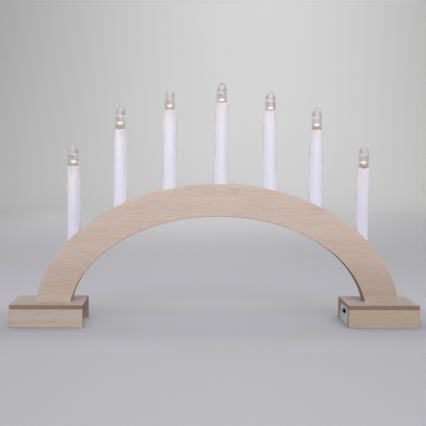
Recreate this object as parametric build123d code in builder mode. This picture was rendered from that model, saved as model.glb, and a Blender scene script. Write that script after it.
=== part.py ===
"""Battery-lit wooden candle arch, in millimetres.

+Z is up, +X runs along the arch and -Y is its front. The origin is midway between the feet, on the surface
that they stand on. Seven plastic candles stand in the arch, which is fixed a little to the right of the middle
between the feet. The right foot hides a holder for two cells.
"""

import os
from math import atan, cos, radians, sin, sqrt, tan

from build123d import *

# Overall form of the arch and its feet
overall_width = 400.0
crown_height = 139.4
arch_centre_height = 5.0
arch_offset = 3.0
leg_inset = 18.1
leg_band = 33.6
crown_band = 31.8
plate_thickness = 4.0
plate_edge = 0.25
arch_edge = 0.5

# Candles, and where each stands along the arch from left to right, not quite evenly
candle_reach_share = 0.872
candle_place_shares = (-1.0, -0.684, -0.347, 0.005, 0.340, 0.662, 0.994)
tube_length = 90.0
tube_base_radius = 7.1
tube_top_radius = 6.35
tube_bore_radius = 4.4
tube_rim_edge = 0.3
socket_clearance = 0.15
socket_wall = 1.75
socket_depth = 10.6
socket_slope_share = 0.8

# Clear flame tips, pushed into the tubes by hand, each to its own depth and turned its own way
tip_wall = 1.15
tip_clearance = 0.1
tip_seat_depth = 7.6
tip_play = 4.0
tip_raise_shares = (0.50, 0.90, 0.45, 0.15, 0.10, 0.65, 0.80)
tip_turns = (180, 10, 90, -80, 100, 25, 60)
flame_height = 18.9
# Height, width and depth of each section of the flame, and how far it leans from the axis
flame_shares = (
    (0.50, 1.00, 1.00, 0.00),
    (0.70, 0.90, 0.94, 0.03),
    (0.85, 0.68, 0.74, 0.12),
    (0.95, 0.42, 0.48, 0.20),
    (1.00, 0.18, 0.22, 0.24),
)
cavity_height = 10.5

# Light-emitting diodes
led_radius = 2.5
led_height = 8.6
led_flange_radius = 2.9
led_flange_height = 1.0
led_sink = 2.6
led_clearance = 0.2
led_leg_radius = 0.3
led_leg_length = 9.0

# Wiring in the groove under the arch
groove_width = 6.0
groove_depth = 7.0
wire_radius = 0.65
wire_pitch = 2.54
wire_bed = 1.35
wire_gap = 0.2
wire_bend = 3.0
wire_ceiling_gap = 0.35
wire_hole_radius = 2.6
drop_hole_radius = 2.25

# Wood screws that hold the arch down from inside the feet
screw_radius = 1.75
screw_head_radius = 3.5
screw_length = 20.0
screw_tip = 4.0
screw_spacing = 14.0
screw_clearance = 0.05
screw_slot_width = 0.9
screw_slot_length = 3.6
screw_slot_depth = 0.9

# Cells
cell_length = 50.5
cell_radius = 7.0
cell_nub_length = 1.0
cell_nub_radius = 2.7
cell_edge = 0.6
cell_gap = 0.8
cell_play = 0.2

# Cell holder
case_wall = 1.4
partition_wall = 1.0
bay_length = 10.5
cell_side_room = 1.3
case_edge = 0.5
cover_thickness = 1.3
cover_clearance = 0.2
cover_tongue = 0.6
cover_tongue_reach = 0.5
cover_ridge_count = 5
cover_ridge_pitch = 2.2
cover_ridge_width = 1.0
cover_ridge_depth = 0.4
cover_ridge_length = 16.0
cover_ridge_inset = 6.0
tape_thickness = 0.6
tape_margin = 3.0
floor_gap = 0.4
foot_side_gap = 4.5
inner_recess = 1.0
outer_recess = 0.5

# Spring contacts
strip_thickness = 0.4
strip_height = 8.0
strip_reach = 4.2
strip_bend = 0.6
strip_foot_share = 0.68
strip_crest_share = 0.22
spring_gap = 3.4
plate_gap = 0.9
contact_gap = 0.1

# Switch and control board
board_thickness = 1.2
board_clearance = 0.2
board_back_gap = 1.2
board_height = 12.0
switch_width = 11.0
switch_height = 5.6
switch_depth = 5.0
switch_recess = 1.0
switch_drop = 4.7
switch_offset = -2.5
switch_travel = 4.0
knob_width = 5.0
knob_height = 3.4
knob_stand = 2.2
knob_clearance = 0.3
knob_rib_count = 3
knob_rib_width = 0.6
knob_rib_depth = 0.4
chip_width = 5.0
chip_height = 4.0
chip_depth = 1.6
chip_inset = 3.0
resistor_radius = 1.1
resistor_length = 6.0
resistor_inset = 1.0

# Holder, worked out from the cells
cell_pitch = 2 * cell_radius + cell_gap
cell_bay_length = spring_gap + cell_length + plate_gap
case_length = 2 * case_wall + bay_length + partition_wall + cell_bay_length
case_width = 2 * (case_wall + cell_side_room + cell_radius) + cell_pitch
case_height = case_wall + 2 * (cell_play + cell_radius) + cover_thickness

# Feet, worked out from the holder
foot_length = inner_recess + case_length + outer_recess
foot_depth = case_width + 2 * (foot_side_gap + plate_thickness)
foot_height = floor_gap + case_height + tape_thickness + plate_thickness
plate_height = foot_height - plate_thickness
foot_inner_x = overall_width / 2 - foot_length
foot_middle_x = overall_width / 2 - foot_length / 2

# Arch, two half ellipses about one centre
outer_half_width = overall_width / 2 - leg_inset
inner_half_width = outer_half_width - leg_band
outer_rise = crown_height - arch_centre_height
inner_rise = outer_rise - crown_band
socket_radius = tube_base_radius + socket_clearance
arch_thickness = 2 * (socket_radius + socket_wall)


def ellipse_height(x, half_width, rise):
    """Height of the ellipse over the floor at a place x along the arch."""
    return arch_centre_height + rise * sqrt(max(0, 1 - ((x - arch_offset) / half_width) ** 2))


def ellipse_reach(z, half_width, rise):
    """Distance of the ellipse from its own middle at a height z."""
    return half_width * sqrt(1 - ((z - arch_centre_height) / rise) ** 2)


def ellipse_fall(x, half_width, rise):
    """How steeply the ellipse falls away from its middle at a place x along the arch."""
    away = abs(x - arch_offset)
    return rise / half_width * away / sqrt(half_width**2 - away**2)


# Where each candle stands, from left to right
candle_count = len(candle_place_shares)
candle_reach = (outer_half_width + inner_half_width) / 2 * candle_reach_share
candle_x = [arch_offset + share * candle_reach for share in candle_place_shares]
socket_floor = [
    ellipse_height(x, outer_half_width, outer_rise)
    - socket_depth
    - ellipse_fall(x, outer_half_width, outer_rise) * 2 * socket_radius * socket_slope_share
    for x in candle_x
]
rim_height = [floor + tube_length for floor in socket_floor]
tip_raise = [share * tip_play for share in tip_raise_shares]

# Where the screws stand in the left leg and in the right leg
leg_reach = ellipse_reach(foot_height, outer_half_width, outer_rise)
groove_reach = ellipse_reach(foot_height, inner_half_width + groove_depth, inner_rise + groove_depth)
screw_reach = (groove_reach + leg_reach) / 2
screw_x = {
    side: [arch_offset + side * (screw_reach + step * screw_spacing / 2) for step in (-1, 1)]
    for side in (-1, 1)
}

# Faces of the holder along the right foot
case_inner_x = foot_inner_x + inner_recess
case_outer_x = case_inner_x + case_length
bay_x = case_inner_x + case_wall
partition_x = bay_x + bay_length
cell_bay_x = partition_x + partition_wall
cell_bay_end_x = cell_bay_x + cell_bay_length
case_bottom = floor_gap
case_top = case_bottom + case_height
case_ceiling = case_top - case_wall
cover_top = case_bottom + cover_thickness
cell_axis = cover_top + cell_play + cell_radius
inner_width = case_width - 2 * case_wall

# Wires lie a little under the top of the groove
wire_half_width = inner_half_width + groove_depth - wire_bed
wire_rise = inner_rise + groove_depth - wire_bed
wire_level = case_ceiling - wire_ceiling_gap - wire_radius
wire_entry_x = arch_offset + ellipse_reach(foot_height, wire_half_width, wire_rise)
wire_entry_lean = atan(1 / ellipse_fall(wire_entry_x, wire_half_width, wire_rise))
wire_riser_x = wire_entry_x + (foot_height - wire_level - wire_bend) * tan(wire_entry_lean / 2)

# Board and switch
board_back_x = partition_x - board_back_gap
board_front_x = board_back_x - board_thickness
switch_front_x = board_front_x - switch_depth
switch_axis = case_top - switch_drop
knob_y = switch_offset - switch_travel / 2
knob_back_x = switch_front_x + switch_recess - board_clearance


def upright(x, y, z):
    """A plane that faces the front, with its own x along the arch and its own y up."""
    return Plane(origin=(x, y, z), x_dir=(1, 0, 0), z_dir=(0, -1, 0))


def keep(piece, name):
    """Labels a finished piece and writes it to its own file."""
    piece.part.label = name
    export_step(piece.part, f"parts/{name}.step")


# Arch board


def make_arch_board():
    with BuildPart() as arch_board:
        with BuildSketch(Plane.XZ):
            with Locations((arch_offset, arch_centre_height)):
                Ellipse(outer_half_width, outer_rise)
                Ellipse(inner_half_width, inner_rise, mode=Mode.SUBTRACT)
        extrude(amount=arch_thickness / 2, both=True)
        fillet(arch_board.faces().filter_by(Axis.Y).edges(), arch_edge)
        # Only what stands above the feet is left
        with BuildSketch(Plane.XY.offset(foot_height)):
            Rectangle(overall_width, foot_depth)
        extrude(amount=-(foot_height + outer_rise), mode=Mode.SUBTRACT)
        with BuildSketch(Plane.XZ):
            with Locations((arch_offset, arch_centre_height)):
                Ellipse(inner_half_width + groove_depth, inner_rise + groove_depth)
        extrude(amount=groove_width / 2, both=True, mode=Mode.SUBTRACT)
        for x, floor in zip(candle_x, socket_floor):
            with BuildSketch(Plane.XY.offset(floor)):
                with Locations((x, 0)):
                    Circle(socket_radius)
            extrude(amount=tube_length, mode=Mode.SUBTRACT)
            with BuildSketch(Plane.XY.offset(floor)):
                with Locations((x, 0)):
                    Circle(drop_hole_radius)
            drop = floor - max(foot_height, ellipse_height(x, inner_half_width, inner_rise))
            extrude(amount=-drop, mode=Mode.SUBTRACT)
        with BuildSketch(Plane.XY.offset(foot_height)):
            with Locations(*[(x, 0) for side in (-1, 1) for x in screw_x[side]]):
                Circle(screw_radius + screw_clearance)
        extrude(amount=screw_length - plate_thickness, mode=Mode.SUBTRACT)
    keep(arch_board, "arch_board")


# Feet, each a top plate on a front and a back plate


def make_foot(side, name):
    with BuildPart() as top_plate:
        with BuildSketch(Plane.XY.offset(plate_height)):
            with Locations((side * foot_middle_x, 0)):
                Rectangle(foot_length, foot_depth)
        extrude(amount=plate_thickness)
        chamfer(top_plate.edges(), plate_edge)
        with Locations(*[Plane(origin=(x, 0, plate_height), z_dir=(0, 0, -1)) for x in screw_x[side]]):
            CounterSinkHole(screw_radius + screw_clearance, screw_head_radius + screw_clearance)
        if side > 0:
            with Locations((wire_riser_x, 0, foot_height)):
                Hole(wire_hole_radius)
    keep(top_plate, f"{name}_top")
    for label, facing in (("front", -1), ("back", 1)):
        with BuildPart() as wall_plate:
            with BuildSketch(Plane.XY):
                with Locations((side * foot_middle_x, facing * (foot_depth - plate_thickness) / 2)):
                    Rectangle(foot_length, plate_thickness)
            extrude(amount=plate_height)
            chamfer(wall_plate.edges(), plate_edge)
        keep(wall_plate, f"{name}_{label}")


def make_arch_screws(side, name):
    """Two countersunk screws, heads flush with the underside of the top plate."""
    head_height = screw_head_radius - screw_radius
    with BuildPart() as screws:
        for x in screw_x[side]:
            with BuildSketch(upright(x, 0, plate_height)):
                with BuildLine():
                    Polyline(
                        (0, 0),
                        (screw_head_radius, 0),
                        (screw_radius, head_height),
                        (screw_radius, screw_length - screw_tip),
                        (0, screw_length),
                        close=True,
                    )
                make_face()
            revolve(axis=Axis((x, 0, 0), (0, 0, 1)))
        with BuildSketch(Plane.XY.offset(plate_height)):
            with Locations(*[(x, 0) for x in screw_x[side]]):
                Rectangle(screw_slot_length, screw_slot_width)
                Rectangle(screw_slot_width, screw_slot_length)
        extrude(amount=screw_slot_depth, mode=Mode.SUBTRACT)
    keep(screws, name)


# Candles


def make_candle_tube(rank, name):
    seat = tube_length - tip_seat_depth
    tip_bore = tube_top_radius - tip_wall
    with BuildPart() as tube:
        with BuildSketch(upright(candle_x[rank], 0, socket_floor[rank])):
            with BuildLine():
                Polyline(
                    (tube_bore_radius, 0),
                    (tube_base_radius, 0),
                    (tube_top_radius, tube_length - tube_rim_edge),
                    (tube_top_radius - tube_rim_edge, tube_length),
                    (tip_bore, tube_length),
                    (tip_bore, seat),
                    (tube_bore_radius, seat),
                    close=True,
                )
            make_face()
        revolve(axis=Axis((candle_x[rank], 0, 0), (0, 0, 1)))
    keep(tube, name)


def make_flame_tip(rank, name):
    """A clear plug that carries a leaning flame, hollow from below for its diode."""
    plug_radius = tube_top_radius - tip_wall - tip_clearance
    turn = radians(tip_turns[rank])
    rim = Plane(
        origin=(candle_x[rank], 0, rim_height[rank] + tip_raise[rank]),
        x_dir=(cos(turn), sin(turn), 0),
        z_dir=(0, 0, 1),
    )
    shoulder = flame_shares[0][0] * flame_height
    flange_top = led_flange_height - led_sink
    with BuildPart() as tip:
        with BuildSketch(rim.offset(-tip_seat_depth)):
            Circle(plug_radius)
        extrude(amount=tip_seat_depth + shoulder)
        for height, width, depth, lean in flame_shares:
            with BuildSketch(rim.offset(height * flame_height)):
                with Locations((lean * plug_radius, 0)):
                    Ellipse(depth * plug_radius, width * plug_radius)
        loft()
        with BuildSketch(rim.offset(-tip_seat_depth)):
            Circle(led_flange_radius + led_clearance)
        extrude(amount=tip_seat_depth + flange_top, mode=Mode.SUBTRACT)
        bore_radius = led_radius + led_clearance
        with BuildSketch(rim.offset(flange_top)):
            Circle(bore_radius)
        extrude(amount=cavity_height - bore_radius - flange_top, mode=Mode.SUBTRACT)
        with Locations(rim.offset(cavity_height - bore_radius)):
            Sphere(bore_radius, mode=Mode.SUBTRACT)
    keep(tip, name)


def make_led(rank, name):
    base = rim_height[rank] + tip_raise[rank] - led_sink
    dome = led_height - led_radius
    with BuildPart() as led:
        with BuildSketch(upright(candle_x[rank], 0, base)):
            with BuildLine():
                Polyline(
                    (0, 0),
                    (led_flange_radius, 0),
                    (led_flange_radius, led_flange_height),
                    (led_radius, led_flange_height),
                    (led_radius, dome),
                )
                RadiusArc((led_radius, dome), (0, led_height), -led_radius)
                Line((0, led_height), (0, 0))
            make_face()
        revolve(axis=Axis((candle_x[rank], 0, 0), (0, 0, 1)))
    keep(led, name)


def make_candle_leads(rank, name):
    """The two legs of a diode and the wires that go on from them down to the supply wires."""
    x = candle_x[rank]
    start = rim_height[rank] + tip_raise[rank] - led_sink
    fall = ellipse_fall(x, wire_half_width, wire_rise)
    end = ellipse_height(x, wire_half_width, wire_rise) + wire_radius * (sqrt(1 + fall**2) + fall) + wire_gap
    with BuildPart() as leads:
        with BuildSketch(Plane.XY.offset(start)):
            with GridLocations(0, wire_pitch, 1, 2):
                with Locations((x, 0)):
                    Circle(led_leg_radius)
        extrude(amount=-led_leg_length)
        with BuildSketch(Plane.XY.offset(start - led_leg_length)):
            with GridLocations(0, wire_pitch, 1, 2):
                with Locations((x, 0)):
                    Circle(wire_radius)
        extrude(amount=end - start + led_leg_length)
    keep(leads, name)


def make_supply_wire(y, name):
    """One wire from the control board up through the foot and along the groove to the last candle."""
    stations = [candle_x[-1]]
    for x in reversed(candle_x[:-1]):
        stations += [(stations[-1] + x) / 2, x]
    with BuildPart() as wire:
        with BuildLine() as route:
            Line((board_back_x, y, wire_level), (wire_riser_x - wire_bend, y, wire_level))
            bend_end = (wire_riser_x, y, wire_level + wire_bend)
            TangentArc((wire_riser_x - wire_bend, y, wire_level), bend_end, tangent=(1, 0, 0))
            entry = (wire_entry_x, y, foot_height)
            last = TangentArc(bend_end, entry, tangent=(0, 0, 1))
            for x in stations:
                point = (x, y, ellipse_height(x, wire_half_width, wire_rise))
                last = TangentArc(last @ 1, point, tangent=last % 1)
        with BuildSketch(Plane(origin=route.line @ 0, z_dir=route.line % 0)):
            Circle(wire_radius)
        sweep(path=route.line)
    keep(wire, name)


# Cell holder in the right foot


def make_battery_case():
    slot_floor = cover_top - cover_tongue - cover_clearance
    slot_reach = inner_width / 2 + cover_tongue_reach + cover_clearance
    with BuildPart() as case:
        with BuildSketch(Plane.XY.offset(case_bottom)):
            with Locations((case_inner_x, 0)):
                Rectangle(case_length, case_width, align=(Align.MIN, Align.CENTER))
        extrude(amount=case_height)
        outside = case.edges().filter_by(Axis.Z) + case.edges().group_by(Axis.Z)[-1]
        fillet(outside, case_edge)
        for start, end in ((bay_x, partition_x), (cell_bay_x, cell_bay_end_x)):
            with BuildSketch(Plane.XY.offset(case_bottom)):
                with Locations((start, 0)):
                    Rectangle(end - start, inner_width, align=(Align.MIN, Align.CENTER))
            extrude(amount=case_height - case_wall, mode=Mode.SUBTRACT)
        # The cover's way out, under the partition and the outer end wall
        with BuildSketch(Plane.XY.offset(case_bottom)):
            with Locations((bay_x, 0)):
                Rectangle(case_length, inner_width, align=(Align.MIN, Align.CENTER))
        extrude(amount=cover_thickness + cover_clearance, mode=Mode.SUBTRACT)
        with BuildSketch(Plane.XY.offset(slot_floor)):
            with Locations((bay_x, 0)):
                Rectangle(case_length, 2 * slot_reach, align=(Align.MIN, Align.CENTER))
        extrude(amount=cover_tongue + 2 * cover_clearance, mode=Mode.SUBTRACT)
        # Slot for the switch knob
        with BuildSketch(Plane.YZ.offset(case_inner_x)):
            with Locations((switch_offset, switch_axis)):
                Rectangle(
                    knob_width + switch_travel + 2 * knob_clearance,
                    knob_height + 2 * knob_clearance,
                )
        extrude(amount=case_wall, mode=Mode.SUBTRACT)
        # Way for the wires over the partition and out through the top
        with BuildSketch(Plane.YZ.offset(partition_x)):
            with Locations((0, case_ceiling)):
                Rectangle(2 * wire_hole_radius, 2 * wire_hole_radius, align=(Align.CENTER, Align.MAX))
        extrude(amount=partition_wall, mode=Mode.SUBTRACT)
        with BuildSketch(Plane.XY.offset(case_ceiling)):
            with Locations((wire_riser_x, 0)):
                Circle(wire_hole_radius)
        extrude(amount=case_wall, mode=Mode.SUBTRACT)
    keep(case, "battery_case")


def make_battery_cover():
    cover_x = bay_x + cover_clearance
    cover_length = case_outer_x - cover_x
    cover_width = inner_width - 2 * cover_clearance
    ridge_span = (cover_ridge_count - 1) * cover_ridge_pitch
    with BuildPart() as cover:
        with BuildSketch(Plane.XY.offset(case_bottom)):
            with Locations((cover_x, 0)):
                Rectangle(cover_length, cover_width, align=(Align.MIN, Align.CENTER))
        extrude(amount=cover_thickness)
        with BuildSketch(Plane.XY.offset(cover_top)):
            with Locations((cover_x, 0)):
                Rectangle(
                    cover_length,
                    inner_width + 2 * cover_tongue_reach,
                    align=(Align.MIN, Align.CENTER),
                )
        extrude(amount=-cover_tongue)
        with BuildSketch(Plane.XY.offset(case_bottom)):
            with Locations((case_outer_x - cover_ridge_inset - ridge_span / 2, 0)):
                with GridLocations(cover_ridge_pitch, 0, cover_ridge_count, 1):
                    SlotOverall(cover_ridge_length, cover_ridge_width, rotation=90)
        extrude(amount=cover_ridge_depth, mode=Mode.SUBTRACT)
    keep(cover, "battery_cover")


def make_cell(y, nub_side, name):
    """One cell, nub towards the outer end of the foot when nub_side is 1."""
    body_length = cell_length - cell_nub_length
    base_x = cell_bay_x + spring_gap if nub_side > 0 else cell_bay_end_x - spring_gap
    with BuildPart() as cell:
        with BuildSketch(Plane(origin=(base_x, y, cell_axis), z_dir=(nub_side, 0, 0))):
            Circle(cell_radius)
        extrude(amount=body_length)
        chamfer(cell.edges().filter_by(GeomType.CIRCLE), cell_edge)
        with BuildSketch(Plane(origin=(base_x, y, cell_axis), z_dir=(nub_side, 0, 0)).offset(body_length)):
            Circle(cell_nub_radius)
        extrude(amount=cell_nub_length)
    keep(cell, name)


def make_contact(path, name):
    """A bent metal strip whose line, seen from above, is path."""
    with BuildPart() as contact:
        with BuildSketch(Plane.XY.offset(cell_axis - strip_height / 2)):
            with BuildLine():
                FilletPolyline(*path, radius=strip_bend)
            trace(line_width=strip_thickness)
        extrude(amount=strip_height)
    keep(contact, name)


def contact_line(wall_x, away, y, bulge):
    """Points of a strip that starts on a wall and bulges away from it to touch the cell at y."""
    root = wall_x + away * strip_thickness / 2
    crest = wall_x + away * (bulge - contact_gap - strip_thickness / 2)
    return [
        (root, y - strip_reach),
        (root, y - strip_foot_share * strip_reach),
        (crest, y - strip_crest_share * strip_reach),
        (crest, y + strip_crest_share * strip_reach),
        (root, y + strip_foot_share * strip_reach),
        (root, y + strip_reach),
    ]


# Control board and switch


def make_control_board():
    with BuildPart() as board:
        with BuildSketch(Plane.YZ.offset(board_front_x)):
            with Locations((0, case_ceiling - board_clearance)):
                Rectangle(inner_width - 2 * board_clearance, board_height, align=(Align.CENTER, Align.MAX))
        extrude(amount=board_thickness)
    keep(board, "control_board")


def make_board_parts():
    board_middle = case_ceiling - board_clearance - board_height / 2
    chip_y = inner_width / 2 - chip_inset - chip_width / 2
    with BuildPart() as chip:
        with BuildSketch(Plane.YZ.offset(board_front_x)):
            with Locations((chip_y, board_middle)):
                Rectangle(chip_width, chip_height)
        extrude(amount=-chip_depth)
    keep(chip, "timer_chip")
    with BuildPart() as resistor:
        resistor_y = resistor_inset + resistor_length - inner_width / 2
        with BuildSketch(upright(board_front_x - resistor_radius, resistor_y, board_middle)):
            Circle(resistor_radius)
        extrude(amount=resistor_length)
    keep(resistor, "series_resistor")


def make_slide_switch():
    with BuildPart() as switch:
        with BuildSketch(Plane.YZ.offset(switch_front_x)):
            with Locations((switch_offset, switch_axis)):
                Rectangle(switch_width, switch_height)
        extrude(amount=switch_depth)
        with BuildSketch(Plane.YZ.offset(switch_front_x)):
            with Locations((switch_offset, switch_axis)):
                Rectangle(
                    knob_width + switch_travel + 2 * knob_clearance,
                    knob_height + 2 * knob_clearance,
                )
        extrude(amount=switch_recess, mode=Mode.SUBTRACT)
    keep(switch, "slide_switch")


def make_switch_knob():
    knob_front_x = case_inner_x - knob_stand
    with BuildPart() as knob:
        with BuildSketch(Plane.YZ.offset(knob_front_x)):
            with Locations((knob_y, switch_axis)):
                Rectangle(knob_width, knob_height)
        extrude(amount=knob_back_x - knob_front_x)
        with BuildSketch(Plane.YZ.offset(knob_front_x)):
            with Locations((knob_y, switch_axis)):
                with GridLocations(2 * knob_rib_width, 0, knob_rib_count, 1):
                    Rectangle(knob_rib_width, knob_height)
        extrude(amount=knob_rib_depth, mode=Mode.SUBTRACT)
    keep(knob, "switch_knob")


def make_mounting_tape():
    start = wire_riser_x + wire_hole_radius + tape_margin
    with BuildPart() as tape:
        with BuildSketch(Plane.XY.offset(case_top)):
            with Locations((start, 0)):
                Rectangle(
                    case_outer_x - tape_margin - start,
                    case_width - 2 * tape_margin,
                    align=(Align.MIN, Align.CENTER),
                )
        extrude(amount=tape_thickness)
    keep(tape, "mounting_tape")


os.makedirs("parts", exist_ok=True)

make_arch_board()
make_foot(-1, "left_foot")
make_foot(1, "right_foot")
make_arch_screws(-1, "arch_screws_left")
make_arch_screws(1, "arch_screws_right")

for rank in range(candle_count):
    make_candle_tube(rank, f"candle_tube_{rank + 1}")
    make_flame_tip(rank, f"flame_tip_{rank + 1}")
    make_led(rank, f"led_{rank + 1}")
    make_candle_leads(rank, f"candle_leads_{rank + 1}")

make_supply_wire(-wire_pitch / 2, "supply_wire_red")
make_supply_wire(wire_pitch / 2, "supply_wire_black")

make_battery_case()
make_battery_cover()
make_cell(-cell_pitch / 2, 1, "battery_cell_front")
make_cell(cell_pitch / 2, -1, "battery_cell_back")
make_contact(contact_line(cell_bay_x, 1, -cell_pitch / 2, spring_gap), "terminal_spring")
make_contact(contact_line(cell_bay_x, 1, cell_pitch / 2, plate_gap), "terminal_plate")
make_contact(
    contact_line(cell_bay_end_x, -1, -cell_pitch / 2, plate_gap)[:-1]
    + contact_line(cell_bay_end_x, -1, cell_pitch / 2, spring_gap)[1:],
    "bridge_contact",
)
make_control_board()
make_board_parts()
make_slide_switch()
make_switch_knob()
make_mounting_tape()
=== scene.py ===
import math

import bpy
from mathutils import Matrix, Vector

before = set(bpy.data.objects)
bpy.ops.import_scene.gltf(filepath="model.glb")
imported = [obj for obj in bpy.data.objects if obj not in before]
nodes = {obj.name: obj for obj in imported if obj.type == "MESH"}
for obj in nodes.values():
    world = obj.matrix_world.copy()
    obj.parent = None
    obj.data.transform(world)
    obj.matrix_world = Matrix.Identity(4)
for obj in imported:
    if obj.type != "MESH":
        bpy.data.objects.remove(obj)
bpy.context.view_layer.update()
scene = bpy.context.scene
scene.view_settings.view_transform = "Standard"


# Shader helpers

def new_material(name):
    """An empty node material: the material, its node tree and its Principled shader."""
    material = bpy.data.materials.new(name)
    material.use_nodes = True
    tree = material.node_tree
    return material, tree, tree.nodes["Principled BSDF"]


def link(tree, source, target):
    tree.links.new(source, target)


def point(tree, kind="Object", scale=(1, 1, 1)):
    """Coordinates of that kind, scaled.

    Object ones are metres in the frame, and Normal ones say which way the surface looks. Generated
    ones go from 0 to 1 in the node's box, and for the room they are the direction of view.
    """
    coordinates = tree.nodes.new("ShaderNodeTexCoord")
    mapping = tree.nodes.new("ShaderNodeMapping")
    mapping.inputs["Scale"].default_value = scale
    link(tree, coordinates.outputs[kind], mapping.inputs["Vector"])
    return mapping.outputs["Vector"]


def part_of(tree, vector, axis):
    split = tree.nodes.new("ShaderNodeSeparateXYZ")
    link(tree, vector, split.inputs["Vector"])
    return split.outputs[axis]


def noise(tree, scale, detail=3.0, roughness=0.5, distortion=0.0):
    """Noise stretched by the three scales, each in waves per metre."""
    texture = tree.nodes.new("ShaderNodeTexNoise")
    texture.inputs["Scale"].default_value = 1.0
    texture.inputs["Detail"].default_value = detail
    texture.inputs["Roughness"].default_value = roughness
    texture.inputs["Distortion"].default_value = distortion
    link(tree, point(tree, "Object", scale), texture.inputs["Vector"])
    return texture.outputs["Fac"]


def remap(tree, value, low, high, to_low=0.0, to_high=1.0, smooth=False):
    node = tree.nodes.new("ShaderNodeMapRange")
    node.interpolation_type = "SMOOTHSTEP" if smooth else "LINEAR"
    node.inputs["From Min"].default_value = low
    node.inputs["From Max"].default_value = high
    node.inputs["To Min"].default_value = to_low
    node.inputs["To Max"].default_value = to_high
    link(tree, value, node.inputs["Value"])
    return node.outputs["Result"]


def calculate(tree, operation, a, b=None):
    node = tree.nodes.new("ShaderNodeMath")
    node.operation = operation
    for socket, value in zip(node.inputs, (a, b)):
        if isinstance(value, (int, float)):
            socket.default_value = value
        elif value is not None:
            link(tree, value, socket)
    return node.outputs["Value"]


def mix(tree, factor, a, b, blend="MIX"):
    """A mix of two colours. The node has sockets for all types, so those for colours go by number."""
    factor_input, a_input, b_input, colour_output = 0, 6, 7, 2
    node = tree.nodes.new("ShaderNodeMix")
    node.data_type = "RGBA"
    node.blend_type = blend
    for number, value in ((factor_input, factor), (a_input, a), (b_input, b)):
        if isinstance(value, tuple):
            node.inputs[number].default_value = (*value, 1.0)
        else:
            link(tree, value, node.inputs[number])
    return node.outputs[colour_output]


def spread_out(tree, noisy, to_low=0.0, to_high=1.0):
    """Noise, most of which lies in the usual range, brought to the range that is asked for."""
    usual_low, usual_high = 0.3, 0.7
    return remap(tree, noisy, usual_low, usual_high, to_low, to_high)


def two_tone(tree, noisy, first, second):
    return mix(tree, spread_out(tree, noisy), first, second)


def bump(tree, shader, height, strength, distance):
    node = tree.nodes.new("ShaderNodeBump")
    node.inputs["Strength"].default_value = strength
    node.inputs["Distance"].default_value = distance
    link(tree, height, node.inputs["Height"])
    link(tree, node.outputs["Normal"], shader.inputs["Normal"])


def shade(colour, factor):
    return tuple(min(1.0, factor * channel) for channel in colour)


def seen(tree):
    """1 for rays that show the background: from the camera, in gloss or through clear plastic."""
    path = tree.nodes.new("ShaderNodeLightPath")
    kinds = ("Is Camera Ray", "Is Glossy Ray", "Is Transmission Ray")
    camera, glossy, through = (path.outputs[kind] for kind in kinds)
    return calculate(tree, "MAXIMUM", calculate(tree, "MAXIMUM", camera, glossy), through)


def facing(tree, axis):
    """1 on faces that look along that axis of the frame, either way, and 0 on the others."""
    slanting, straight = 0.75, 0.95
    size = calculate(tree, "ABSOLUTE", part_of(tree, point(tree, "Normal"), axis))
    return remap(tree, size, slanting, straight, smooth=True)


# Wood

def grain(tree, light, dark, vein):
    """Raw veneer with its grain along X: soft clouds of two tones, short dark pores and fine fibres."""
    cloud = noise(tree, (7, 70, 70), roughness=0.55, distortion=0.5)
    band = noise(tree, (32, 420, 420), roughness=0.6, distortion=0.4)
    pore = noise(tree, (80, 1150, 1150), detail=2.0, distortion=0.2)
    fibre = noise(tree, (200, 2600, 2600), detail=2.0, roughness=0.6)
    fibre_height = 0.7
    tone = mix(tree, remap(tree, cloud, 0.32, 0.68), light, dark)
    tone = mix(tree, remap(tree, band, 0.5, 0.75, to_high=0.45), tone, shade(dark, 0.9))
    tone = mix(tree, remap(tree, band, 0.48, 0.28, to_high=0.4), tone, shade(light, 1.07))
    tone = mix(tree, remap(tree, pore, 0.57, 0.74, to_high=0.65), tone, vein)
    tone = mix(tree, remap(tree, fibre, 0.5, 0.8, to_high=0.3), tone, shade(dark, 0.8))
    height = calculate(tree, "SUBTRACT", calculate(tree, "MULTIPLY", fibre, fibre_height), pore)
    return tone, height, pore


def browned(tree, light, dark):
    """A cut edge browned by the cutter, in streaks along the plies."""
    streak = noise(tree, (30, 900, 900), roughness=0.6)
    soot = noise(tree, (160, 160, 160), detail=4.0, roughness=0.6)
    tone = mix(tree, remap(tree, streak, 0.35, 0.65), light, dark)
    return mix(tree, remap(tree, soot, 0.45, 0.75, to_high=0.6), tone, shade(dark, 0.75))


def finish_wood(tree, shader, colour, height, pore):
    link(tree, colour, shader.inputs["Base Color"])
    link(tree, spread_out(tree, pore, 0.55, 0.75), shader.inputs["Roughness"])
    shader.inputs["Specular IOR Level"].default_value = 0.25
    bump(tree, shader, height, strength=0.2, distance=0.0003)


def plate_wood(name, light, dark, vein, axis, edge_light, edge_dark, ring=None):
    """A plate whose broad faces look along one axis: veneer there, and browned on the cut edges.

    A growth ring, where there is one, tints the veneer between two heights.
    """
    material, tree, shader = new_material(name)
    tone, height, pore = grain(tree, light, dark, vein)
    if ring:
        low, high, soft, tint = ring
        up = part_of(tree, point(tree), "Z")
        over_low = remap(tree, up, low - soft, low + soft)
        under_high = remap(tree, up, high + soft, high - soft)
        inside = calculate(tree, "MINIMUM", over_low, under_high)
        tone = mix(tree, inside, tone, tint, "MULTIPLY")
    colour = mix(tree, facing(tree, axis), browned(tree, edge_light, edge_dark), tone)
    finish_wood(tree, shader, colour, height, pore)
    return material


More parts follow.
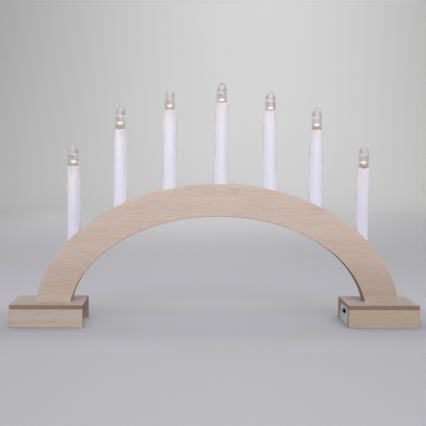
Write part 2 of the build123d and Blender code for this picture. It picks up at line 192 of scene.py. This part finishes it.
def arch_wood(name, light, dark, vein, edge_light, edge_dark, centre):
    """The arch: veneer in front, behind and on the outer edge, with painted shade low on its legs, deeper
    on the right leg.

    The edge that looks at the centre is browned.
    """
    # Painted shade on the legs: where it starts and ends in height, and its tint on each leg
    leg_top, leg_bottom, leg_change = 0.09, 0.02, 0.05
    inward_start, inward_full = -0.03, -0.05
    left_leg_shade, right_leg_shade = (0.895, 0.89, 0.865), (0.785, 0.775, 0.735)
    material, tree, shader = new_material(name)
    tone, height, pore = grain(tree, light, dark, vein)
    rightward = remap(tree, part_of(tree, point(tree), "X"), -leg_change, leg_change)
    # Painted shade: the legs darken towards the feet, the right leg more than the left
    low = remap(tree, part_of(tree, point(tree), "Z"), leg_top, leg_bottom, smooth=True)
    tone = mix(tree, low, tone, mix(tree, rightward, left_leg_shade, right_leg_shade), "MULTIPLY")
    from_centre = tree.nodes.new("ShaderNodeMapping")
    from_centre.vector_type = "TEXTURE"
    from_centre.inputs["Location"].default_value = centre
    link(tree, point(tree), from_centre.inputs["Vector"])
    product = tree.nodes.new("ShaderNodeVectorMath")
    product.operation = "DOT_PRODUCT"
    link(tree, from_centre.outputs["Vector"], product.inputs[0])
    link(tree, point(tree, "Normal"), product.inputs[1])
    inward = remap(tree, product.outputs["Value"], inward_start, inward_full, smooth=True)
    colour = mix(tree, inward, tone, browned(tree, edge_light, edge_dark))
    finish_wood(tree, shader, colour, height, pore)
    return material


# Plastics

def moulded(name, first, second, roughness, texture, gloss=0.5):
    """Moulded plastic: a faint cloud of tone, a fine texture and a little uneven gloss."""
    material, tree, shader = new_material(name)
    cloud = noise(tree, (60, 60, 25))
    spark = noise(tree, (2400, 2400, 2400), detail=2.0)
    uneven = spread_out(tree, cloud, roughness * 0.85, roughness * 1.2)
    link(tree, two_tone(tree, cloud, first, second), shader.inputs["Base Color"])
    link(tree, uneven, shader.inputs["Roughness"])
    shader.inputs["Specular IOR Level"].default_value = gloss
    bump(tree, shader, spark, strength=texture, distance=0.0002)
    return material


def candle_plastic(name, light, dark, glow):
    """Milky tube: faint draw lines along its length, and a painted warm glow of the lit tip towards its
    top.
    """
    glow_start, glow_full = 0.62, 0.96
    material, tree, shader = new_material(name)
    line = noise(tree, (900, 900, 6), detail=2.0)
    cloud = noise(tree, (60, 60, 25))
    height = part_of(tree, point(tree, "Generated"), "Z")
    tone = mix(tree, remap(tree, line, 0.35, 0.65), light, dark)
    # Painted glow: the tube turns warmer towards the lit tip
    painted_tip_glow = remap(tree, height, glow_start, glow_full, smooth=True)
    link(tree, mix(tree, painted_tip_glow, tone, glow), shader.inputs["Base Color"])
    link(tree, spread_out(tree, cloud, 0.22, 0.32), shader.inputs["Roughness"])
    shader.inputs["Subsurface Weight"].default_value = 0.8
    shader.inputs["Subsurface Radius"].default_value = (1.0, 1.0, 1.0)
    shader.inputs["Subsurface Scale"].default_value = 0.006
    shader.inputs["Specular IOR Level"].default_value = 0.2
    shader.inputs["Coat Weight"].default_value = 1.0
    shader.inputs["Coat Roughness"].default_value = 0.05
    return material


def clear_plastic(name, light, dark, warm):
    """Clear plastic with faint flow waves.

    It is hazy low down, where a painted warm glow stands for the diode's light, and at the top a glow
    shows the diode's light again and is also a painted highlight.
    """
    material, tree, shader = new_material(name)
    flow = noise(tree, (160, 160, 90), detail=2.0)
    height = part_of(tree, point(tree, "Generated"), "Z")
    clear = two_tone(tree, flow, light, dark)
    # Painted glow of the diode: the plastic turns warm low down
    painted_diode_glow = remap(tree, height, 0.42, 0.30, smooth=True)
    haze = remap(tree, height, 0.4, 0.8, to_low=0.36, to_high=0.2, smooth=True)
    # Glow at the top: diode light scattered in the plastic, and a painted highlight
    apex_glow_and_highlight = remap(tree, height, 0.72, 1.0, to_high=0.15, smooth=True)
    link(tree, mix(tree, painted_diode_glow, clear, warm), shader.inputs["Base Color"])
    link(tree, haze, shader.inputs["Roughness"])
    link(tree, apex_glow_and_highlight, shader.inputs["Emission Strength"])
    link(tree, clear, shader.inputs["Emission Color"])
    shader.inputs["Transmission Weight"].default_value = 1.0
    shader.inputs["IOR"].default_value = 1.4
    bump(tree, shader, flow, strength=0.04, distance=0.0006)
    return material


def lit_diode(name, lens, glow):
    """A lit diode: a cream lens whose light is strongest round the chip, a little above the middle."""
    chip_height = 0.57
    material, tree, shader = new_material(name)
    cloud = noise(tree, (700, 700, 700), detail=2.0)
    height = part_of(tree, point(tree, "Generated"), "Z")
    from_chip = calculate(tree, "ABSOLUTE", calculate(tree, "SUBTRACT", height, chip_height))
    strength = remap(tree, from_chip, 0.03, 0.19, to_low=1.0, to_high=0.05, smooth=True)
    link(tree, two_tone(tree, cloud, lens, shade(lens, 0.9)), shader.inputs["Base Color"])
    link(tree, two_tone(tree, cloud, glow, shade(glow, 0.92)), shader.inputs["Emission Color"])
    link(tree, strength, shader.inputs["Emission Strength"])
    shader.inputs["Roughness"].default_value = 0.3
    return material


# Metals, cells and wires

def metal(name, light, dark, roughness):
    """Bare metal with a fine brush along X."""
    material, tree, shader = new_material(name)
    cloud = noise(tree, (500, 500, 500))
    brush = noise(tree, (300, 3000, 3000), detail=2.0)
    uneven = spread_out(tree, brush, roughness * 0.8, roughness * 1.3)
    link(tree, two_tone(tree, cloud, light, dark), shader.inputs["Base Color"])
    link(tree, uneven, shader.inputs["Roughness"])
    shader.inputs["Metallic"].default_value = 1.0
    bump(tree, shader, brush, strength=0.05, distance=0.0001)
    return material


def cell_sleeve(name, sleeve, band, end, nub_side):
    """A plain sleeve with a coloured band at the nub's end, and bare metal end faces."""
    middle, band_start, band_full = 0.5, 0.2, 0.21
    material, tree, shader = new_material(name)
    cloud = noise(tree, (90, 400, 400))
    along = part_of(tree, point(tree, "Generated"), "X")
    banded = remap(tree, along, middle + band_start * nub_side, middle + band_full * nub_side)
    tone = mix(tree, banded, two_tone(tree, cloud, sleeve, shade(sleeve, 1.4)), band)
    link(tree, mix(tree, facing(tree, "X"), tone, end), shader.inputs["Base Color"])
    link(tree, spread_out(tree, cloud, 0.25, 0.4), shader.inputs["Roughness"])
    shader.inputs["Metallic"].default_value = 0.7
    return material


def wire_pair(name, red, black):
    """The two leads of a candle: red in front, black behind."""
    half_gap = 0.0002
    material, tree, shader = new_material(name)
    cloud = noise(tree, (200, 200, 60))
    behind = remap(tree, part_of(tree, point(tree), "Y"), -half_gap, half_gap)
    tone = mix(tree, behind, red, black)
    tone = mix(tree, remap(tree, cloud, 0.4, 0.8, to_high=0.3), tone, shade(black, 2.0))
    link(tree, tone, shader.inputs["Base Color"])
    link(tree, spread_out(tree, cloud, 0.35, 0.5), shader.inputs["Roughness"])
    return material


# Colours

pale, tan, pore_brown = (0.63, 0.51, 0.45), (0.575, 0.455, 0.395), (0.42, 0.31, 0.25)
brown, burnt = (0.34, 0.235, 0.18), (0.26, 0.175, 0.13)
left_pale, left_tan = (0.595, 0.505, 0.475), (0.535, 0.43, 0.39)
# The right foot's walls: a yellower veneer than the left, and a little darker as painted shade on the
# right side
right_pale, right_tan = (0.57, 0.453, 0.368), (0.485, 0.37, 0.27)
# The tops of the feet: a greyer veneer than the walls, and darker partly as painted shade on these upward
# faces
top_pale, top_tan = (0.485, 0.415, 0.385), (0.46, 0.385, 0.345)
tube_white, tube_line, tube_glow = (0.80, 0.78, 0.93), (0.76, 0.74, 0.90), (0.86, 0.80, 0.885)
tip_light, tip_dark, tip_diode_glow = (0.975, 0.93, 0.935), (0.945, 0.895, 0.90), (0.95, 0.88, 0.82)
diode_lens, diode_glow = (0.56, 0.52, 0.47), (1.0, 0.95, 0.86)
red_cover, black_cover = (0.36, 0.025, 0.02), (0.02, 0.02, 0.022)
red_dark, black_light = shade(red_cover, 0.8), shade(black_cover, 1.6)
steel, dull_steel = (0.62, 0.61, 0.58), (0.52, 0.51, 0.47)
contact, dull_contact = (0.74, 0.72, 0.67), (0.62, 0.60, 0.55)
# The battery case and cover are white plastic, given grey colours as painted shade, for the case sits in
# the shade of the foot
case_white, case_grey = (0.55, 0.54, 0.58), (0.515, 0.505, 0.545)
sleeve_black, band_copper, cell_steel = (0.05, 0.07, 0.09), (0.62, 0.36, 0.14), (0.70, 0.69, 0.66)
board_green, board_dark = (0.03, 0.17, 0.07), (0.02, 0.12, 0.05)
chip_black, chip_grey = (0.02, 0.02, 0.022), (0.03, 0.03, 0.032)
resistor_tan, resistor_dark = (0.55, 0.40, 0.22), (0.48, 0.34, 0.18)
switch_black, switch_grey = (0.008, 0.007, 0.009), (0.012, 0.011, 0.013)
knob_black, knob_grey = (0.006, 0.005, 0.007), (0.01, 0.009, 0.011)
foam_white, foam_grey = (0.75, 0.75, 0.72), (0.66, 0.66, 0.63)

# The left foot's growth ring: its lower height, upper height, softness and tint

left_ring = (0.0025, 0.0075, 0.0012, (1.0, 0.94, 0.80))

# The middle of the arch's curve

arch_centre = (0.003, 0, 0.005)


# Looks by the start of a node's name, where the first that fits is used

looks = {
    "arch_board": arch_wood("arch_wood", pale, tan, pore_brown, brown, burnt, arch_centre),
    "left_foot_top": plate_wood("left_top_wood", top_pale, top_tan, pore_brown, "Z", brown, burnt),
    "left_foot_": plate_wood(
        "left_wall_wood", left_pale, left_tan, pore_brown, "Y", brown, burnt, left_ring),
    "right_foot_top": plate_wood("right_top_wood", top_pale, top_tan, pore_brown, "Z", brown, burnt),
    "right_foot_": plate_wood("right_wall_wood", right_pale, right_tan, pore_brown, "Y", brown, burnt),
    "candle_tube": candle_plastic("candle_white", tube_white, tube_line, tube_glow),
    "flame_tip": clear_plastic("clear_tip", tip_light, tip_dark, tip_diode_glow),
    "led_": lit_diode("warm_diode", diode_lens, diode_glow),
    "candle_leads": wire_pair("lead_pair", red_cover, black_cover),
    "supply_wire_red": moulded("wire_red", red_cover, red_dark, roughness=0.4, texture=0.04),
    "supply_wire_black": moulded("wire_black", black_cover, black_light, roughness=0.4, texture=0.04),
    "arch_screws": metal("screw_steel", steel, dull_steel, roughness=0.3),
    "battery_case": moulded("case_white", case_white, case_grey, roughness=0.4, texture=0.06),
    "battery_cover": moulded("cover_white", case_white, case_grey, roughness=0.4, texture=0.06),
    "battery_cell_front": cell_sleeve("cell_front", sleeve_black, band_copper, cell_steel, nub_side=1),
    "battery_cell_back": cell_sleeve("cell_back", sleeve_black, band_copper, cell_steel, nub_side=-1),
    "terminal": metal("contact_metal", contact, dull_contact, roughness=0.25),
    "bridge": metal("bridge_metal", contact, dull_contact, roughness=0.25),
    "control_board": moulded("board_green", board_green, board_dark, roughness=0.35, texture=0.04),
    "timer_chip": moulded("chip_black", chip_black, chip_grey, roughness=0.45, texture=0.06),
    "series_resistor": moulded("resistor_tan", resistor_tan, resistor_dark, roughness=0.35, texture=0.04),
    "slide_switch": moulded(
        "switch_black", switch_black, switch_grey, roughness=0.5, texture=0.06, gloss=0.15),
    "switch_knob": moulded(
        "knob_black", knob_black, knob_grey, roughness=0.5, texture=0.06, gloss=0.15),
    "mounting_tape": moulded("foam_tape", foam_white, foam_grey, roughness=0.9, texture=0.4),
}
for name, node in nodes.items():
    look = next(value for start, value in looks.items() if name.startswith(start))
    node.data.materials.clear()
    node.data.materials.append(look)


# Studio

def backdrop_grey():
    """Grey that pales towards the wall, with a lift that only rays which show the background see.

    The lift is a little dimmer to the sides as a painted fall-off of light, and weaker round the feet and
    where something stands close by as painted shadow, so that shadows stay.
    Far to the sides and far in front it is stronger.
    """
    floor_dim, floor_pale, wall = (0.243, 0.240, 0.268), (0.253, 0.250, 0.279), (0.70, 0.70, 0.70)
    feet_scale, contact_distance, contact_samples = (1.4, 10, 1), 0.02, 8
    material, tree, shader = new_material("backdrop_grey")
    along = part_of(tree, point(tree), "Y")
    away = calculate(tree, "ABSOLUTE", part_of(tree, point(tree), "X"))
    floor = two_tone(tree, noise(tree, (3, 3, 3), detail=2.0), floor_dim, floor_pale)
    depth = remap(tree, along, 0.2, 1.5, smooth=True)
    link(tree, mix(tree, depth, floor, wall), shader.inputs["Base Color"])

    near_lift = remap(tree, along, 1.3, 0.1, to_high=0.292)
    front_lift = remap(tree, along, -0.09, -0.3, to_high=0.085)
    # Painted fall-off of light: the lift dims to the sides
    sideways = remap(tree, away, 0.0, 0.3, to_low=1.0, to_high=0.87, smooth=True)
    # Painted soft shadow: the lift dips in an oval round the feet
    from_middle = tree.nodes.new("ShaderNodeVectorMath")
    from_middle.operation = "LENGTH"
    link(tree, point(tree, "Object", feet_scale), from_middle.inputs[0])
    painted_feet_shadow = remap(tree, from_middle.outputs["Value"], 0.45, 1.0, to_low=0.78, smooth=True)
    # Painted contact shadow: ambient occlusion weakens the lift where something stands close by
    occlusion = tree.nodes.new("ShaderNodeAmbientOcclusion")
    occlusion.samples = contact_samples
    occlusion.inputs["Distance"].default_value = contact_distance
    painted_contact_shadow = remap(tree, occlusion.outputs["AO"], 0.5, 1.0, to_low=0.45)
    lift = calculate(tree, "ADD", near_lift, front_lift)
    for weaker in (sideways, painted_feet_shadow, painted_contact_shadow):
        lift = calculate(tree, "MULTIPLY", lift, weaker)

    on_floor = remap(tree, along, 1.2, 0.4, smooth=True)
    floor_side = calculate(tree, "MULTIPLY", remap(tree, away, 0.7, 1.6, to_high=0.42), on_floor)
    far_side = remap(tree, away, 1.0, 2.1, to_high=0.5, smooth=True)
    far_front = remap(tree, along, -0.5, -1.5, to_high=0.42)
    for brighter in (floor_side, far_side, far_front):
        lift = calculate(tree, "MAXIMUM", lift, brighter)
    link(tree, calculate(tree, "MULTIPLY", seen(tree), lift), shader.inputs["Emission Strength"])
    shader.inputs["Emission Color"].default_value = (0.975, 0.965, 1.0, 1.0)
    shader.inputs["Roughness"].default_value = 0.9
    shader.inputs["Specular IOR Level"].default_value = 0.1
    return material


def backdrop():
    """A pale floor that sweeps up into a wall far behind the object."""
    half_width, front, middle, back = 5.0, -4.0, -1.0, 2.6
    radius, top, steps = 1.2, 3.2, 24
    line = [(front, 0.0), (middle, 0.0), (back - radius, 0.0)]
    for step in range(1, steps + 1):
        turn = math.pi / 2 * step / steps
        line.append((back - radius + radius * math.sin(turn), radius - radius * math.cos(turn)))
    line.append((back, top))
    points = [(side * half_width, y, z) for y, z in line for side in (-1, 1)]
    faces = [(2 * k, 2 * k + 1, 2 * k + 3, 2 * k + 2) for k in range(len(line) - 1)]
    mesh = bpy.data.meshes.new("backdrop")
    mesh.from_pydata(points, [], faces)
    mesh.polygons.foreach_set("use_smooth", [True] * len(faces))
    mesh.materials.append(backdrop_grey())
    sweep = bpy.data.objects.new("backdrop", mesh)
    scene.collection.objects.link(sweep)


def lamp(name, place, aim, size, power, spread=180, mirrored=True):
    """A soft rectangle of light. Gloss and clear plastic show it only where it is mirrored."""
    data = bpy.data.lights.new(name, "AREA")
    data.spread = math.radians(spread)
    data.shape = "RECTANGLE"
    data.size, data.size_y = size
    data.energy = power
    light = bpy.data.objects.new(name, data)
    light.location = place
    light.rotation_mode = "QUATERNION"
    light.rotation_quaternion = (Vector(aim) - Vector(place)).to_track_quat("-Z", "Y")
    light.visible_camera = False
    light.visible_glossy = light.visible_transmission = mirrored
    scene.collection.objects.link(light)


def lamps():
    """Soft light from the front and the sides, weak light from behind, and a wash on the wall."""
    candles, strip, panel = (0, 0, 0.18), (0.1, 0.28), (0.5, 0.6)
    lamp("front_top", (0, -0.45, 0.62), (0, 0, 0.32), (1.6, 0.55), power=2.85, spread=70)
    lamp("left_strip", (-0.66, -1.0, 0.19), candles, strip, power=0.9)
    lamp("left_panel", (-1.1, -0.6, 0.45), candles, panel, power=2.7, mirrored=False)
    lamp("right_strip", (0.57, -1.05, 0.19), candles, strip, power=0.6)
    lamp("right_panel", (1.1, -0.6, 0.45), candles, panel, power=2.2, mirrored=False)
    lamp("back_top", (0, 1.0, 1.0), (0, 0, 0.12), (1.4, 0.6), power=0.7, spread=120)
    lamp("back_panel", (0, 1.5, 0.22), (0, 0, 0.14), (0.8, 0.3), power=0.9, spread=60, mirrored=False)
    for side in (-1, 1):
        place = (1.1 * side, 0.8, 0.42)
        lamp("back_side", place, (0, 0, 0.24), (0.5, 0.15), power=0.27, spread=30, mirrored=False)
    lamp("wall_wash", (0.35, 1.3, 1.45), (0.05, 2.6, 0.5), (0.8, 0.4), power=14.8)


def room():
    """A grey room, a little darker at the sides, that shows paler than it lights."""
    front_grey, side_grey, shown_grey = (0.18, 0.18, 0.185), (0.17, 0.17, 0.175), (0.60, 0.60, 0.61)
    world = bpy.data.worlds.new("studio")
    world.use_nodes = True
    tree = world.node_tree
    background = tree.nodes["Background"]
    sideways = calculate(tree, "ABSOLUTE", part_of(tree, point(tree, "Generated"), "X"))
    light = mix(tree, remap(tree, sideways, 0.35, 0.9, smooth=True), front_grey, side_grey)
    link(tree, mix(tree, seen(tree), light, shown_grey), background.inputs["Color"])
    background.inputs["Strength"].default_value = 1.0
    scene.world = world


def photo_camera():
    """The camera at the photo's place and angle."""
    place, focal_length, sensor = (-0.03832, -0.78187, 0.17566), 66.76, 36.0
    pitch, yaw, roll = math.radians(4.785), math.radians(2.5475), math.radians(0.6454)
    ahead = math.cos(pitch)
    forward = Vector((math.sin(yaw) * ahead, math.cos(yaw) * ahead, -math.sin(pitch)))
    level = Vector((math.cos(yaw), -math.sin(yaw), 0))
    upright = level.cross(forward)
    right = level * math.cos(roll) + upright * math.sin(roll)
    up = upright * math.cos(roll) - level * math.sin(roll)
    data = bpy.data.cameras.new("camera")
    data.sensor_width = sensor
    data.lens = focal_length
    data.clip_start = 0.01
    camera = bpy.data.objects.new("camera", data)
    turn = Matrix((right, up, -forward)).transposed()
    camera.matrix_world = Matrix.Translation(place) @ turn.to_4x4()
    scene.collection.objects.link(camera)
    scene.camera = camera


backdrop()
lamps()
room()
photo_camera()
